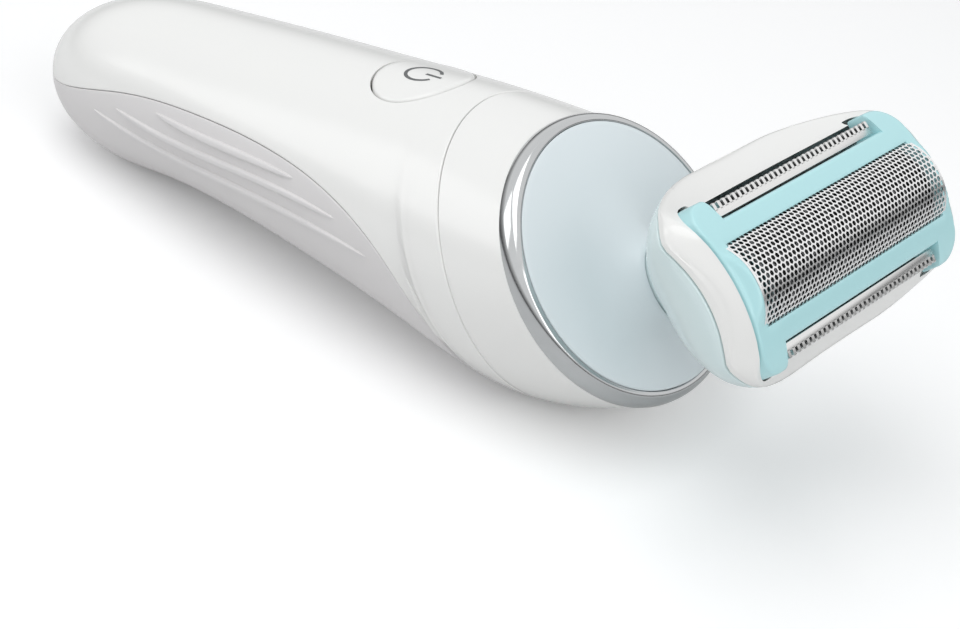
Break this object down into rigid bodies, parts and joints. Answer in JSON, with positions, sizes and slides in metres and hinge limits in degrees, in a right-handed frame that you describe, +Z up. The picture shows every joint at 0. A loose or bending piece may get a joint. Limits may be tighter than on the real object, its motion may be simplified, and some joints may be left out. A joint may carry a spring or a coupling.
{
  "type": "body groomer",
  "caption": "Body groomer: S-curved handle with soft grip, oval push button and a pull-off head whose arched foil lies between trimmer combs, driven through the neck by an eccentric rocker.",
  "frame": {"origin": "middle of the bounding box in X and Y, with the table at Z = 0 and the groomer lying on its belly and tail", "axes": "+X runs from the tail to the head, +Y across the body along the foil, +Z up through the button side"},
  "size_m": [0.1546, 0.0542, 0.0498],
  "materials": {
    "shell_white": "glossy",
    "grip_grey": "matte",
    "plate_pale": "satin",
    "head_pale": "glossy",
    "frame_aqua": "glossy",
    "bezel_chrome": "mirror",
    "foil_steel": "perforated",
    "comb_steel": "satin",
    "blade_steel": "ground",
    "carrier_plastic": "matte",
    "inner_plastic": "matte",
    "board_green": "satin",
    "switch_black": "matte",
    "cell_wrap": "satin",
    "motor_steel": "satin",
    "screw_steel": "satin",
    "spring_steel": "satin",
    "contact_steel": "satin",
    "seal_rubber": "matte"
  },
  "bodies": {
    "handle": {"upper_shell": "shell_white", "lower_shell": "inner_plastic", "grip_cover": "grip_grey", "front_collar": "shell_white", "chrome_bezel": "bezel_chrome", "face_plate": "plate_pale", "lever_pin": "screw_steel", "drive_seal": "seal_rubber", "battery_cell": "cell_wrap", "battery_contacts": "contact_steel", "chassis": "inner_plastic", "chassis_screws": "screw_steel", "circuit_board": "board_green", "power_switch": "switch_black", "charging_socket": "switch_black", "socket_seal": "seal_rubber", "motor_can": "motor_steel"},
    "power_button": {"power_button": "shell_white"},
    "head": {"head_rim": "shell_white", "head_base": "head_pale", "head_screws": "screw_steel", "foil_springs": "spring_steel"},
    "foil_cassette": {"foil_frame": "frame_aqua", "shaving_foil": "foil_steel", "upper_trimmer_guard": "comb_steel", "lower_trimmer_guard": "comb_steel"},
    "cutter": {"cutter_carrier": "carrier_plastic", "cutter_lamellae": "blade_steel", "upper_trimmer_blade": "blade_steel", "lower_trimmer_blade": "blade_steel"},
    "drive_lever": {"drive_lever": "inner_plastic", "drive_pin": "screw_steel"},
    "rotor": {"motor_shaft": "screw_steel", "eccentric_cam": "carrier_plastic"}
  },
  "joints": [
    {"name": "button_press", "type": "slide", "parent": "handle", "child": "power_button", "axis": [0.1498, 0, -0.9887], "range_m": [0, 0.0006], "stiffness_N_per_m": 2000, "springref_m": -0.0005},
    {"name": "head_pull_off", "type": "slide", "parent": "handle", "child": "head", "axis": [0.7069, 0, 0.7073], "range_m": [0, 0.009]},
    {"name": "foil_float", "type": "slide", "parent": "head", "child": "foil_cassette", "axis": [-0.7069, 0, -0.7073], "range_m": [0, 0.0012], "stiffness_N_per_m": 1200, "springref_m": -0.0006, "deforming": ["foil_springs"]},
    {"name": "cutter_stroke", "type": "slide", "parent": "foil_cassette", "child": "cutter", "axis": [0, 1, 0], "range_m": [-0.001, 0.001]},
    {"name": "lever_swing", "type": "hinge", "parent": "handle", "child": "drive_lever", "pos_m": [0.03675, 0, 0.01313], "axis": [-0.7073, 0, 0.7069], "range_deg": [-1.57, 1.57]},
    {"name": "motor_spin", "type": "hinge", "parent": "handle", "child": "rotor", "pos_m": [-0.00552, 0, 0.01337], "axis": [0.9887, 0, 0.1498], "continuous": true}
  ],
  "couplings": [
    {"joint": "lever_swing", "follows": "cutter_stroke", "rad_per_m": 27.211}
  ]
}
